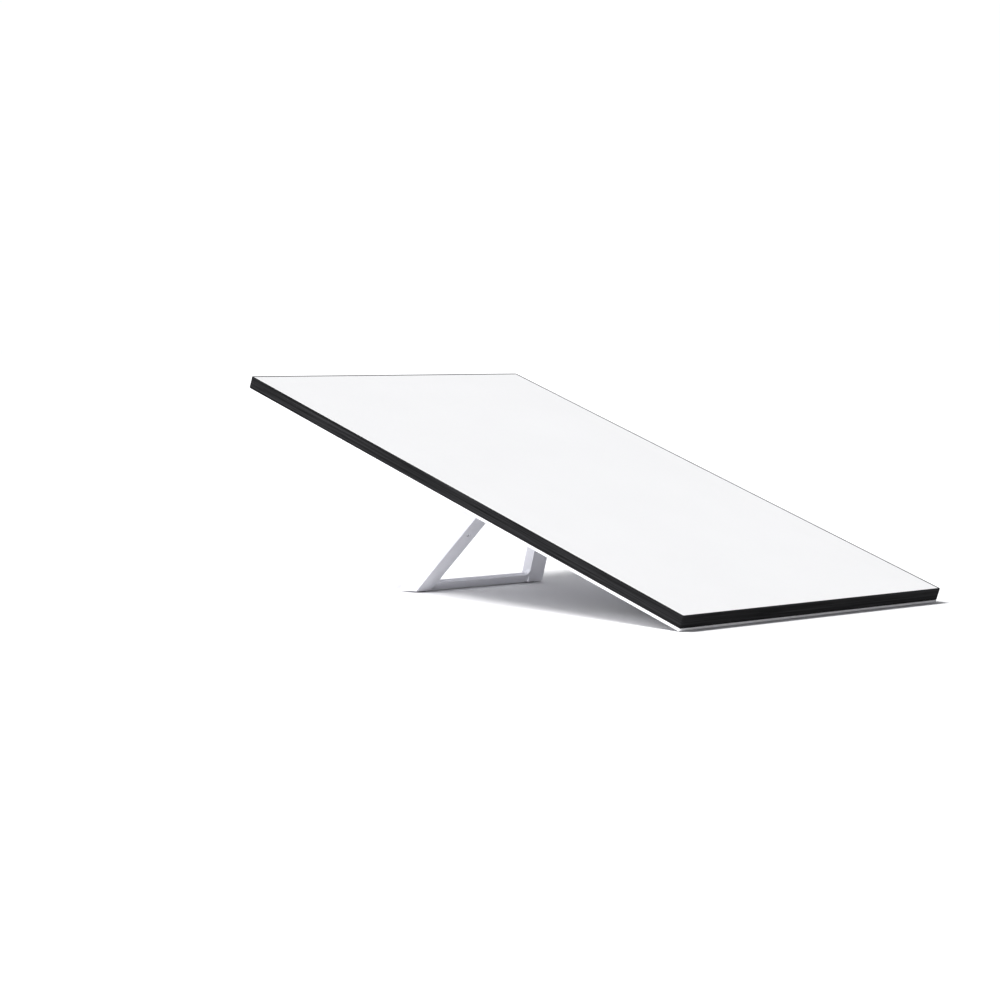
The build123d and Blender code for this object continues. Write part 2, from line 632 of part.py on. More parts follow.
with BuildPart() as stand_cradle:
    with BuildSketch(depth(CRADLE_FLOOR_TOP)):
        add(pocket(CRADLE_WALL))
    extrude(amount=-CRADLE_WALL)
    with BuildSketch(depth(CRADLE_FLOOR_TOP)):
        with Locations(*CRADLE_SCREW_PLACES):
            Circle(CRADLE_SCREW_RADIUS + 0.2)
        with Locations(*HUB_SCREW_PLACES):
            Circle(1.8)
    extrude(amount=-CRADLE_WALL, mode=Mode.SUBTRACT)
    # countersinks for the cradle screws
    for place in CRADLE_SCREW_PLACES:
        with BuildSketch(depth(POCKET_FLOOR - COUNTERSINK)):
            with Locations(place):
                Circle(CRADLE_SCREW_RADIUS + 0.2)
        with BuildSketch(depth(POCKET_FLOOR)):
            with Locations(place):
                Circle(CRADLE_SCREW_RADIUS + COUNTERSINK + 0.2)
        loft(mode=Mode.SUBTRACT)

# the pocket's walls, which stand on the cradle and seal against the inside of the rear cover
with BuildPart() as pocket_surround:
    with BuildSketch(depth(POCKET_FLOOR)):
        add(pocket(CRADLE_WALL))
        add(pocket(0), mode=Mode.SUBTRACT)
    extrude(amount=POCKET_FLOOR - OVERALL_DEPTH)
    # the face, flush with the plateau, its step and the flange under the cover
    with BuildSketch(depth(OVERALL_DEPTH - BEZEL_WALL)):
        add(bezel())
        add(pocket(0), mode=Mode.SUBTRACT)
    extrude(amount=-BEZEL_WALL)
    with BuildSketch(depth(FLANGE_TOP)):
        add(bezel())
        add(bezel(-BEZEL_WALL), mode=Mode.SUBTRACT)
    extrude(amount=FLANGE_TOP - OVERALL_DEPTH)
    with BuildSketch(depth(FLANGE_TOP)):
        add(bezel(4.8))
        add(bezel(-BEZEL_WALL), mode=Mode.SUBTRACT)
    extrude(amount=-BEZEL_WALL)

with BuildPart() as cradle_screws:
    with BuildSketch(depth(PLATE_BACK + 1.0)):
        with Locations(*CRADLE_SCREW_PLACES):
            Circle(CRADLE_SCREW_RADIUS)
    extrude(amount=PLATE_BACK + 1.0 + COUNTERSINK - POCKET_FLOOR)
    for place in CRADLE_SCREW_PLACES:
        with BuildSketch(depth(POCKET_FLOOR - COUNTERSINK)):
            with Locations(place):
                Circle(CRADLE_SCREW_RADIUS)
        with BuildSketch(depth(POCKET_FLOOR - 0.1)):
            with Locations(place):
                Circle(CRADLE_SCREW_RADIUS + COUNTERSINK - 0.1)
        loft()
    with BuildSketch(depth(POCKET_FLOOR - 0.1)):
        with Locations(*CRADLE_SCREW_PLACES):
            RegularPolygon(1.3, 6)
    extrude(amount=1.3, mode=Mode.SUBTRACT)

with BuildPart() as cradle_gasket:
    with BuildSketch(depth(COVER_INSIDE - GASKET_THICKNESS)):
        add(bezel(4.4))
        add(bezel(0.3), mode=Mode.SUBTRACT)
    extrude(amount=-GASKET_THICKNESS)

# two pads on the pocket's upper wall, sloped to meet the backs of the open legs
with BuildPart() as stop_pads:
    for side in (-1, 1):
        with BuildSketch(across(HINGE_UP, HINGE_DEPTH, side * STOP_PAD_PLACE - STOP_PAD_WIDTH / 2)):
            Polygon(
                (POCKET_TOP, -STOP_PAD_START),
                (leg_back_at(STOP_PAD_START) + STOP_GAP, -STOP_PAD_START),
                (leg_back_at(STOP_PAD_END) + STOP_GAP, -STOP_PAD_END),
                (POCKET_TOP, -STOP_PAD_END),
                align=None,
            )
        extrude(amount=STOP_PAD_WIDTH)

# ---------------------------------------------------------------- hinge: hub, pins, buttons
PIN_SHOULDER = 17.9
SPRING_WIRE = 0.45
SPRING_RADIUS = 4.0

with BuildPart() as hinge_hub:
    with BuildSketch(depth(POCKET_FLOOR)):
        with Locations((0, HINGE_UP + (POCKET_TOP - 0.4 - HUB_DROP) / 2)):
            Rectangle(2 * HUB_HALF, POCKET_TOP - 0.4 + HUB_DROP)
    extrude(amount=POCKET_FLOOR - HUB_BACK)
    fillet(hinge_hub.faces().sort_by(FRONTWARD)[0].edges().filter_by(Axis.X), 3.0)
    for side in (-1, 1):
        turned(side, HUB_WEB_HALF, HUB_HALF, 5.2, mode=Mode.SUBTRACT)
        turned(side, HUB_HALF - HUB_BUSH_LENGTH, HUB_HALF, 6.5, mode=Mode.SUBTRACT)
    with BuildSketch(depth(POCKET_FLOOR)):
        with Locations(*HUB_SCREW_PLACES):
            Circle(1.8)
    extrude(amount=POCKET_FLOOR - HUB_BACK, mode=Mode.SUBTRACT)
    with BuildSketch(depth(HUB_BACK - 2.4)):
        with Locations(*HUB_SCREW_PLACES):
            Circle(3.2)
    extrude(amount=-3.0, mode=Mode.SUBTRACT)

with BuildPart() as hub_screws:
    with BuildSketch(depth(CRADLE_FLOOR_TOP)):
        with Locations(*HUB_SCREW_PLACES):
            Circle(1.7)
    extrude(amount=CRADLE_FLOOR_TOP - HUB_BACK + 2.4)
    with BuildSketch(depth(HUB_BACK - 2.4)):
        with Locations(*HUB_SCREW_PLACES):
            Circle(3.0)
    extrude(amount=-2.2)
    with BuildSketch(depth(HUB_BACK - 0.2)):
        with Locations(*HUB_SCREW_PLACES):
            RegularPolygon(1.6, 6)
    extrude(amount=1.2, mode=Mode.SUBTRACT)

with BuildPart() as hub_bushes:
    for side in (-1, 1):
        turned(side, HUB_HALF - HUB_BUSH_LENGTH, HUB_HALF, 6.45, PIN_RADIUS + RUNNING_GAP)

with BuildPart() as hinge_washers:
    for side in (-1, 1):
        turned(side, HUB_HALF + RUNNING_GAP, KNUCKLE_START - RUNNING_GAP, 7.5, PIN_RADIUS + 0.2)

with BuildPart() as leg_bushes:
    for side in (-1, 1):
        turned(side, KNUCKLE_START, PIN_END + 0.8, KNUCKLE_BORE - RUNNING_GAP, PIN_RADIUS + RUNNING_GAP)

SLEEVE_START = PIN_END + 9.2
with BuildPart() as button_sleeves:
    for side in (-1, 1):
        turned(side, SLEEVE_START, KNUCKLE_END - 0.2, KNUCKLE_BORE - RUNNING_GAP, 4.55)

SPRING_TURNS = 6
spring_length = PIN_SHOULDER - HUB_WEB_HALF - 2 * SPRING_WIRE - 0.4

with BuildPart() as hinge_pin_left:
    turned(-1, PIN_SHOULDER, PIN_END, PIN_RADIUS)
    turned(-1, PIN_SHOULDER, HUB_HALF - HUB_BUSH_LENGTH - 0.1, 5.1)
    turned(-1, PIN_SHOULDER - 5.9, PIN_SHOULDER, 2.6)

with BuildPart() as pin_spring_left:
    with BuildLine() as coil:
        Helix(
            pitch=spring_length / SPRING_TURNS,
            height=spring_length,
            radius=SPRING_RADIUS,
            center=(-(HUB_WEB_HALF + SPRING_WIRE + 0.2), HINGE.Y, HINGE.Z),
            direction=(-1, 0, 0),
        )
    with BuildSketch(Plane(origin=coil.line @ 0, z_dir=coil.line % 0)):
        Circle(SPRING_WIRE)
    sweep()

with BuildPart() as release_button_left:
    turned(-1, PIN_END + 0.1, SLEEVE_START, PIN_RADIUS - RUNNING_GAP)
    turned(-1, SLEEVE_START - 2.1, SLEEVE_START - 0.1, 5.5)
    turned(-1, SLEEVE_START - 0.1, KNUCKLE_END + 1.0, 4.4)

# the right-hand pin, spring and button are mirror images
with BuildPart() as hinge_pin_right:
    mirror(hinge_pin_left.part, about=Plane.YZ)
with BuildPart() as pin_spring_right:
    mirror(pin_spring_left.part, about=Plane.YZ)
with BuildPart() as release_button_right:
    mirror(release_button_left.part, about=Plane.YZ)

# ---------------------------------------------------------------- kickstand
crossbar_top = stand_reach(SOLE_HEIGHT, -STAND_FRONT) - CROSSBAR_HEIGHT
DRAIN_REACH = stand_reach(0, -STAND_FRONT) - 68.5
WELL_TOP, WELL_FOOT = 17.0, 104.0  # ends of the cored hollow in each leg's back, below the hinge axis
WELL_WALL = 2.8
foot_front = HINGE.Y + stand_reach(0, -STAND_FRONT) * LEAN_SIN - STAND_FRONT * LEAN_COS
FOOT_PAD_PLACES = [(-79.0, foot_front + 7.0), (79.0, foot_front + 7.0)]


def leg_outline(side, reach, wall=0.0):
    """X of a leg's inner and outer sides at that distance below the hinge axis, less a wall on each side."""
    outer = leg_half_width(reach)
    return side * (outer - LEG_WIDTH + wall), side * (outer - wall)


def down_the_stand(reach):
    """The plane square to the stand, that far below its hinge axis: y is towards the stand's front."""
    origin = STAND.from_local_coords(Vector(0, -reach, 0))
    return Plane(origin=origin, x_dir=(1, 0, 0), z_dir=(0, LEAN_SIN, -LEAN_COS))


def beside_stand(reach, behind_front):
    """A point of the stand's side view in the world's YZ plane."""
    point = STAND.from_local_coords(Vector(0, -reach, STAND_FRONT - behind_front))
    return (point.Y, point.Z)


with BuildPart() as crossbar_draft:
    # what the crossbar's front loses between the legs, so that it falls back towards the ground
    half_top, half_low = leg_outline(1, crossbar_top)[0], leg_outline(1, LEG_REACH)[0]
    with BuildSketch(STAND.offset(STAND_FRONT)):
        Polygon(
            (half_top, -crossbar_top),
            (-half_top, -crossbar_top),
            (-half_low, -LEG_REACH),
            (half_low, -LEG_REACH),
            align=None,
        )
    extrude(amount=-CROSSBAR_DRAFT)
    start = STAND.from_local_coords(Vector(0, -crossbar_top, STAND_FRONT))
    end = STAND.from_local_coords(Vector(0, -LEG_REACH, STAND_FRONT - CROSSBAR_DRAFT))
    split(bisect_by=Plane(origin=start, x_dir=(1, 0, 0), z_dir=(end - start).cross(Vector(1, 0, 0))), keep=Keep.TOP)

with BuildPart() as kickstand_frame:
    for side in (-1, 1):
        for reach in (0, LEG_REACH):
            inner, outer = leg_outline(side, reach)
            with BuildSketch(down_the_stand(reach)):
                Polygon(
                    (inner, STAND_FRONT),
                    (outer, STAND_FRONT),
                    (outer, -STAND_BACK),
                    (inner, -STAND_BACK_INNER),
                    align=None,
                )
        loft(ruled=True)
    # the crossbar, thicker towards the ground
    bar_half = leg_outline(1, crossbar_top)[0] + 9.0
    with BuildSketch(Plane.YZ.offset(-bar_half)):
        Polygon(
            beside_stand(crossbar_top, 0),
            beside_stand(crossbar_top, CROSSBAR_THICKNESS),
            beside_stand(LEG_REACH, CROSSBAR_FOOT_THICKNESS),
            beside_stand(LEG_REACH, 0),
            align=None,
        )
    extrude(amount=2 * bar_half)
    split(bisect_by=Plane.XY.offset(SOLE_HEIGHT), keep=Keep.TOP)
    corners = [
        edge
        for edge in kickstand_frame.edges().filter_by(Axis((0, 0, 0), (0, LEAN_COS, LEAN_SIN)))
        if abs(STAND.to_local_coords(edge.center()).Y + crossbar_top) < 0.1
    ]
    fillet([edge for edge in corners if edge.length > CROSSBAR_THICKNESS - 0.5], OPENING_RADIUS)
    add(crossbar_draft.part, mode=Mode.SUBTRACT)
    # each leg's cored back, with a rib across it
    for side in (-1, 1):
        for start, end in ((WELL_TOP, 58.0), (61.0, WELL_FOOT)):
            with BuildSketch(STAND.offset(STAND_FRONT - WEB_THICKNESS)):
                Polygon(
                    (leg_outline(side, start, WELL_WALL)[0], -start),
                    (leg_outline(side, start, WELL_WALL)[1], -start),
                    (leg_outline(side, end, WELL_WALL)[1], -end),
                    (leg_outline(side, end, WELL_WALL)[0], -end),
                    align=None,
                )
            extrude(amount=WEB_THICKNESS - STAND_FRONT - STAND_BACK, mode=Mode.SUBTRACT)
        # drain hole
        with BuildSketch(STAND.offset(STAND_FRONT)):
            with Locations((side * (leg_half_width(DRAIN_REACH) - LEG_WIDTH / 2), -DRAIN_REACH)):
                Circle(1.5)
        extrude(amount=-WEB_THICKNESS, mode=Mode.SUBTRACT)
    # feet: rounded outer corners and heels
    sole = kickstand_frame.faces().filter_by(Axis.Z).sort_by(Axis.Z)[0]
    sides = sole.edges().sort_by(Axis.X)
    fillet([sides[0], sides[-1]], FOOT_RADIUS)
    for side in (-1, 1):
        turned(side, KNUCKLE_START, KNUCKLE_END, STAND_FRONT)
        turned(side, KNUCKLE_START, KNUCKLE_END + 6.0, KNUCKLE_BORE, mode=Mode.SUBTRACT)
    # recesses for the foot pads
    with BuildSketch(Plane.XY.offset(SOLE_HEIGHT)):
        with Locations(*FOOT_PAD_PLACES):
            RectangleRounded(*FOOT_PAD_SIZE, 2)
    extrude(amount=FOOT_PAD_THICKNESS - SOLE_HEIGHT, mode=Mode.SUBTRACT)

with BuildPart() as foot_pads:
    with BuildSketch(Plane.XY):
        with Locations(*FOOT_PAD_PLACES):
            RectangleRounded(*FOOT_PAD_SIZE, 2)
    extrude(amount=FOOT_PAD_THICKNESS)

# ---------------------------------------------------------------- write the sub-parts
pieces = {
    "radome_face": radome_face,
    "side_frame": side_frame,
    "honeycomb_spacer": honeycomb_spacer,
    "antenna_patches": antenna_patches,
    "antenna_board": antenna_board,
    "gnss_antenna": gnss_antenna,
    "beamformer_chips": beamformer_chips,
    "thermal_pads": thermal_pads,
    "back_plate": back_plate,
    "cradle_standoffs": cradle_standoffs,
    "board_standoffs": board_standoffs,
    "control_board": control_board,
    "board_screws": board_screws,
    "board_link_connector": board_link_connector,
    "processor": processor,
    "heat_block": heat_block,
    "shield_cans": shield_cans,
    "power_inductors": power_inductors,
    "capacitors": capacitors,
    "rear_cover": rear_cover,
    "cable_channel": cable_channel,
    "perimeter_seal": perimeter_seal,
    "cover_screws": cover_screws,
    "vent_plug": vent_plug,
    "rating_label": rating_label,
    "inlet_socket": inlet_socket,
    "inlet_contacts": inlet_contacts,
    "inlet_gasket": inlet_gasket,
    "inlet_lead": inlet_lead,
    "stand_cradle": stand_cradle,
    "pocket_surround": pocket_surround,
    "cradle_screws": cradle_screws,
    "cradle_gasket": cradle_gasket,
    "stop_pads": stop_pads,
    "hinge_hub": hinge_hub,
    "hub_screws": hub_screws,
    "hub_bushes": hub_bushes,
    "hinge_washers": hinge_washers,
    "leg_bushes": leg_bushes,
    "button_sleeves": button_sleeves,
    "kickstand_frame": kickstand_frame,
    "foot_pads": foot_pads,
    "hinge_pin_left": hinge_pin_left,
    "hinge_pin_right": hinge_pin_right,
    "pin_spring_left": pin_spring_left,
    "pin_spring_right": pin_spring_right,
    "release_button_left": release_button_left,
    "release_button_right": release_button_right,
}
for label, piece in pieces.items():
    piece.part.label = label
    export_step(piece.part, f"parts/{label}.step")
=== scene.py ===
import json
import math

import bmesh
import bpy
from mathutils import Matrix, Vector


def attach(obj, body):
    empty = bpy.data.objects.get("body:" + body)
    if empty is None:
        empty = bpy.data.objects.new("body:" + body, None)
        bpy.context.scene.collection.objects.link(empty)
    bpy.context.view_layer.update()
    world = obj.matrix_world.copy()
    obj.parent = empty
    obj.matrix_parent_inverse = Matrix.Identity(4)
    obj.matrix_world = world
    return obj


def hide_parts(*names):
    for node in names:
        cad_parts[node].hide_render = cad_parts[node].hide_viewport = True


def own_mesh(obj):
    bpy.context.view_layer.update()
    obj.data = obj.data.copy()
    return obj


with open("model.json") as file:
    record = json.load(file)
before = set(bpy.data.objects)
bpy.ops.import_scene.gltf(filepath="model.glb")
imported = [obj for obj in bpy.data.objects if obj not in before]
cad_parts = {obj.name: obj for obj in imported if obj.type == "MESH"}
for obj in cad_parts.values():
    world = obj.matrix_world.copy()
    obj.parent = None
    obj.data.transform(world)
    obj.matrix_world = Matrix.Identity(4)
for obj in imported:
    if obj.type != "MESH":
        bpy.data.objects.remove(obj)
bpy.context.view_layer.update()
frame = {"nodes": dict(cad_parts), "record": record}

MM = 0.001
record = frame["record"]
slot_of = {part["node"]: part["material_slot"] for part in record["subparts"]}
body_of_node = {node: body for body, nodes in record["behaviour"]["bodies"].items() for node in nodes}

TILT = math.radians(19.63)  # of the panel, from the ground
FRONTWARD = Vector((0, -math.sin(TILT), math.cos(TILT)))  # the way the panel's face looks

# the camera's heading from +Y, its pitch and its roll
YAW, PITCH, ROLL = math.radians(46.18), math.radians(-3.19), math.radians(0.17)
CAMERA_AT = (-2.0377, -1.8226, 0.2519)  # m
LENS_MM, SENSOR_MM = 100.95, 36
SHIFT_X, SHIFT_Y = 0.0103, -0.0057


# ---------------------------------------------------------------- node helpers
class Nodes:
    """A material's node tree, with short ways to add nodes and link them."""

    def __init__(self, name):
        self.material = bpy.data.materials.new(name)
        self.material.use_nodes = True
        self.tree = self.material.node_tree
        self.shader = self.tree.nodes["Principled BSDF"]
        self.place = self.tree.nodes.new("ShaderNodeTexCoord").outputs["Object"]

    def add(self, kind, **inputs):
        node = self.tree.nodes.new(kind)
        for key, value in inputs.items():
            socket = node.inputs[key.replace("_", " ")]
            if isinstance(value, bpy.types.NodeSocket):
                self.tree.links.new(value, socket)
            else:
                socket.default_value = value
        return node

    def set(self, **inputs):
        for key, value in inputs.items():
            socket = self.shader.inputs[key.replace("_", " ")]
            if isinstance(value, bpy.types.NodeSocket):
                self.tree.links.new(value, socket)
            else:
                socket.default_value = value

    def noise(self, scale, detail=3.0, rough=0.55, stretch=None):
        place = self.place
        if stretch:
            mapping = self.add("ShaderNodeMapping", Vector=place)
            mapping.inputs["Scale"].default_value = stretch
            place = mapping.outputs["Vector"]
        node = self.add("ShaderNodeTexNoise", Vector=place, Scale=scale, Detail=detail, Roughness=rough)
        return node.outputs["Fac"]

    def between(self, factor, low, high, start=0.3, end=0.7):
        node = self.add("ShaderNodeMapRange", Value=factor)
        node.inputs["From Min"].default_value = start
        node.inputs["From Max"].default_value = end
        node.inputs["To Min"].default_value = low
        node.inputs["To Max"].default_value = high
        return node.outputs["Result"]

    def blend(self, factor, first, second):
        node = self.tree.nodes.new("ShaderNodeMix")
        node.data_type = "RGBA"
        self.tree.links.new(factor, node.inputs["Factor"])
        for socket, value in ((node.inputs[6], first), (node.inputs[7], second)):
            if isinstance(value, bpy.types.NodeSocket):
                self.tree.links.new(value, socket)
            else:
                socket.default_value = (*value, 1.0)
        return node.outputs[2]

    def bump(self, height, distance, strength=1.0, under=None):
        node = self.add("ShaderNodeBump", Height=height, Distance=distance, Strength=strength)
        if under is not None:
            self.tree.links.new(under, node.inputs["Normal"])
        return node.outputs["Normal"]


def moulded(name, colour, rough=0.5, grain=0.00003, grain_scale=2600.0, drift=0.03, specular=0.5):
    """Moulded or painted surface: fine grain, a slow drift of tone and uneven gloss."""
    n = Nodes(name)
    slow = n.noise(9.0, 2.0)
    fine = n.noise(grain_scale, 2.0, 0.6)
    middle = n.noise(240.0, 4.0, 0.6)
    light = tuple(min(1.0, c * (1 + drift)) for c in colour)
    dark = tuple(c * (1 - drift) for c in colour)
    tone = n.blend(n.between(slow, 0.0, 1.0), dark, light)
    speck = tuple(c * (1 - 2 * drift) for c in colour)
    specks = n.blend(n.between(fine, 0.0, 0.35, 0.45, 0.75), tone, speck)
    n.set(Base_Color=specks, Roughness=n.between(middle, rough - 0.06, rough + 0.06))
    n.set(Normal=n.bump(fine, grain, 1.0, n.bump(middle, grain * 0.6, 0.6)))
    n.set(Specular_IOR_Level=specular)
    return n.material


def lined_band(name, colour, rough=0.6):
    """Black moulded edge with fine lines drawn along it, parallel to the panel's face."""
    n = Nodes(name)
    height = n.add("ShaderNodeVectorMath")
    height.operation = "DOT_PRODUCT"
    n.tree.links.new(n.place, height.inputs[0])
    height.inputs[1].default_value = FRONTWARD
    axes = n.add("ShaderNodeSeparateXYZ", Vector=n.place)
    lines_at = n.add("ShaderNodeCombineXYZ", Z=height.outputs["Value"])
    n.tree.links.new(axes.outputs["X"], lines_at.inputs["X"])
    n.tree.links.new(axes.outputs["Y"], lines_at.inputs["Y"])
    stretched = n.add("ShaderNodeMapping", Vector=lines_at.outputs["Vector"])
    stretched.inputs["Scale"].default_value = (9.0, 9.0, 900.0)
    streaks = n.add(
        "ShaderNodeTexNoise", Vector=stretched.outputs["Vector"], Scale=1.0, Detail=3.0, Roughness=0.7
    )
    lines = streaks.outputs["Fac"]
    mottle = n.noise(26.0, 3.0)
    dark = tuple(c * 0.2 for c in colour)
    light = tuple(c * 2.4 for c in colour)
    tone = n.blend(n.between(lines, 0.0, 1.0, 0.36, 0.64), dark, light)
    faded = n.blend(n.between(mottle, 0.0, 0.45), tone, tuple(c * 1.5 for c in colour))
    n.set(Base_Color=faded, Roughness=n.between(lines, rough - 0.1, rough + 0.1))
    n.set(Normal=n.bump(lines, 0.00012, 1.0, n.bump(n.noise(1500.0, 2.0), 0.00004)))
    n.set(Specular_IOR_Level=0.05)
    return n.material


def metal(name, colour, rough=0.32, stretch=(1.0, 40.0, 40.0), scale=180.0, grain=0.00002):
    """Bare metal with drawn or brushed lines."""
    n = Nodes(name)
    lines = n.noise(scale, 5.0, 0.7, stretch)
    stain = n.noise(60.0, 3.0)
    tone = n.blend(n.between(stain, 0.0, 1.0), tuple(c * 0.86 for c in colour), colour)
    n.set(Base_Color=tone, Metallic=1.0, Roughness=n.between(lines, rough - 0.08, rough + 0.12))
    n.set(Normal=n.bump(lines, grain))
    return n.material


def rubber(name, colour, rough=0.8):
    """Rubber or a soft pad, with a dusty bloom."""
    n = Nodes(name)
    bloom = n.noise(70.0, 4.0)
    fine = n.noise(1800.0, 3.0)
    tone = n.blend(n.between(bloom, 0.0, 1.0), colour, tuple(c * 1.5 + 0.004 for c in colour))
    n.set(Base_Color=tone, Roughness=n.between(bloom, rough - 0.1, rough + 0.08))
    n.set(Normal=n.bump(fine, 0.00006))
    return n.material


def board(name, colour):
    """Circuit board: solder mask with fine traces and plated dots."""
    n = Nodes(name)
    traces = n.add("ShaderNodeTexBrick", Vector=n.place, Scale=180.0)
    traces.inputs["Color1"].default_value = (*colour, 1)
    traces.inputs["Color2"].default_value = (*[c * 1.35 for c in colour], 1)
    traces.inputs["Mortar"].default_value = (*[c * 2.4 + 0.01 for c in colour], 1)
    traces.inputs["Mortar Size"].default_value = 0.012
    dots = n.add("ShaderNodeTexVoronoi", Vector=n.place, Scale=420.0)
    plated = n.between(dots.outputs["Distance"], 1.0, 0.0, 0.08, 0.12)
    tone = n.blend(plated, traces.outputs["Color"], (0.6, 0.5, 0.25))
    n.set(Base_Color=tone, Roughness=n.between(n.noise(300.0), 0.3, 0.45))
    n.set(Normal=n.bump(traces.outputs["Fac"], 0.00004))
    return n.material


materials = {
    "radome_white": moulded("radome_white", (0.80, 0.80, 0.803), 0.46, 0.00002, 3200.0, 0.008, 0.15),
    "frame_black": lined_band("frame_black", (0.017, 0.017, 0.018)),
    "cover_white": moulded("cover_white", (0.78, 0.78, 0.795), 0.55, 0.00005, 2200.0, 0.015, 0.4),
    # the stand's white is tinted faintly blue as painted shade: the tint stands in for the bluish light
    # on its shaded faces
    "cast_white": moulded("cast_white", (0.80, 0.80, 0.845), 0.5, 0.00007, 1500.0, 0.02, 0.4),
    "spacer_foam": moulded("spacer_foam", (0.78, 0.76, 0.68), 0.85, 0.0002, 900.0, 0.04, 0.2),
    "copper": metal("copper", (0.76, 0.42, 0.27), 0.35, (8.0, 8.0, 8.0)),
    "circuit_board": board("circuit_board", (0.010, 0.075, 0.035)),
    "antenna_ceramic": moulded("antenna_ceramic", (0.66, 0.60, 0.50), 0.7, 0.00008, 1400.0, 0.05),
    "chip_black": moulded("chip_black", (0.022, 0.022, 0.024), 0.55, 0.00004, 2400.0, 0.1),
    "thermal_pad": rubber("thermal_pad", (0.22, 0.27, 0.33), 0.7),
    "plate_aluminium": metal("plate_aluminium", (0.80, 0.81, 0.82), 0.36, (2.0, 60.0, 60.0)),
    "screw_steel": metal("screw_steel", (0.55, 0.55, 0.56), 0.3, (20.0, 20.0, 20.0)),
    "shield_steel": metal("shield_steel", (0.66, 0.66, 0.66), 0.3, (60.0, 3.0, 3.0)),
    "ferrite": moulded("ferrite", (0.05, 0.05, 0.054), 0.75, 0.0001, 1200.0, 0.1),
    "capacitor_can": metal("capacitor_can", (0.72, 0.73, 0.75), 0.28, (30.0, 30.0, 2.0)),
    "seal_rubber": rubber("seal_rubber", (0.018, 0.018, 0.019)),
    "vent_grey": moulded("vent_grey", (0.45, 0.45, 0.46), 0.6, 0.00005, 1800.0, 0.04),
    "label_grey": moulded("label_grey", (0.55, 0.555, 0.57), 0.35, 0.00001, 2600.0, 0.02),
    "socket_black": moulded("socket_black", (0.025, 0.025, 0.027), 0.45, 0.00004, 1800.0, 0.1),
    "contact_brass": metal("contact_brass", (0.86, 0.66, 0.32), 0.25, (2.0, 50.0, 50.0)),
    "bush_polymer": moulded("bush_polymer", (0.06, 0.06, 0.064), 0.4, 0.00003, 1500.0, 0.08),
    "spring_steel": metal("spring_steel", (0.60, 0.60, 0.62), 0.25, (30.0, 4.0, 4.0)),
    "pin_steel": metal("pin_steel", (0.68, 0.68, 0.70), 0.18, (90.0, 4.0, 4.0)),
    "button_grey": moulded("button_grey", (0.36, 0.36, 0.375), 0.5, 0.00005, 1700.0, 0.04),
}
for node, piece in frame["nodes"].items():
    piece.data.materials.clear()
    piece.data.materials.append(materials[slot_of[node]])


# ---------------------------------------------------------------- refined pieces
CREASE = 14.0  # degrees: flatter joins between faces are parts of a curve
SAME_POINT_MM, SAME_PLANE = 0.002, 0.5  # for joining a solid's triangles into whole faces
ROUNDING_SEGMENTS = 3
EDGE_ANGLE, SHALLOW_EDGE_ANGLE = 28.0, 18.0  # degrees: sharper edges are rounded


def refined(node, bevel, angle):
    """A node's shape as clean flat faces with rounded edges, in place of the plain solid."""
    source = frame["nodes"][node].data
    mesh = bpy.data.meshes.new(node + "_rounded")
    shape = bmesh.new()
    shape.from_mesh(source)
    bmesh.ops.remove_doubles(shape, verts=shape.verts, dist=SAME_POINT_MM * MM)
    bmesh.ops.dissolve_limit(
        shape,
        angle_limit=math.radians(SAME_PLANE),
        verts=shape.verts,
        edges=shape.edges,
        delimit={"NORMAL"},
    )
    for face in shape.faces:
        face.smooth = True
    for edge in shape.edges:
        edge.smooth = edge.calc_face_angle(0.0) < math.radians(CREASE)
    shape.to_mesh(mesh)
    shape.free()
    piece = bpy.data.objects.new(mesh.name, mesh)
    bpy.context.scene.collection.objects.link(piece)
    rounding = piece.modifiers.new("rounding", "BEVEL")
    rounding.width = bevel * MM
    rounding.segments = ROUNDING_SEGMENTS
    rounding.limit_method = "ANGLE"
    rounding.angle_limit = math.radians(angle)
    rounding.harden_normals = True
    rounding.use_clamp_overlap = True
    mesh.materials.append(materials[slot_of[node]])
    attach(piece, body_of_node[node])
    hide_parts(node)
    return piece


EDGE_BEVELS = {  # mm, for each piece that shows
    "radome_face": 0.35,
    "side_frame": 0.3,
    "rear_cover": 0.35,
    "cable_channel": 0.3,
    "pocket_surround": 0.35,
    "stand_cradle": 0.25,
    "kickstand_frame": 0.5,
    "hinge_hub": 0.4,
    "foot_pads": 0.3,
    "stop_pads": 0.3,
    "inlet_socket": 0.25,
    "vent_plug": 0.25,
    "rating_label": 0.08,
    "cover_screws": 0.2,
    "cradle_screws": 0.2,
    "hub_screws": 0.2,
    "hinge_washers": 0.12,
}
SHALLOW_EDGES = {"rear_cover", "cable_channel"}  # their flanks meet the flat parts at about 20 degrees
for node, bevel in EDGE_BEVELS.items():
    refined(node, bevel, SHALLOW_EDGE_ANGLE if node in SHALLOW_EDGES else EDGE_ANGLE)


def pressed_spring(node):
    """A button's spring, copied as a piece with its own mesh on the button's body, in place of the
    plain solid; the real spring shortens towards its fixed inner end as the button is pressed, which
    this copy does not do.
    """
    source = frame["nodes"][node]
    piece = bpy.data.objects.new(node + "_coil", source.data.copy())
    bpy.context.scene.collection.objects.link(piece)
    piece.matrix_world = source.matrix_world
    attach(piece, body_of_node[node])
    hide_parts(node)
    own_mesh(piece)


pressed_spring("pin_spring_left")
pressed_spring("pin_spring_right")

# ---------------------------------------------------------------- stage
FLOOR_SIZE, FLOOR_Z = 60, -0.0002  # m
bpy.ops.mesh.primitive_plane_add(size=FLOOR_SIZE, location=(0, 0, FLOOR_Z))
floor = bpy.context.object
floor.name = "floor"
paper = Nodes("paper")
paper_tone = paper.blend(paper.noise(3.0), (0.86, 0.86, 0.865), (0.87, 0.87, 0.875))
paper.set(Base_Color=paper_tone, Roughness=0.9, Specular_IOR_Level=0.0)
floor.data.materials.append(paper.material)

scene = bpy.context.scene
scene.view_settings.view_transform = "Standard"
scene.view_settings.look = "None"
scene.view_settings.gamma = 0.85

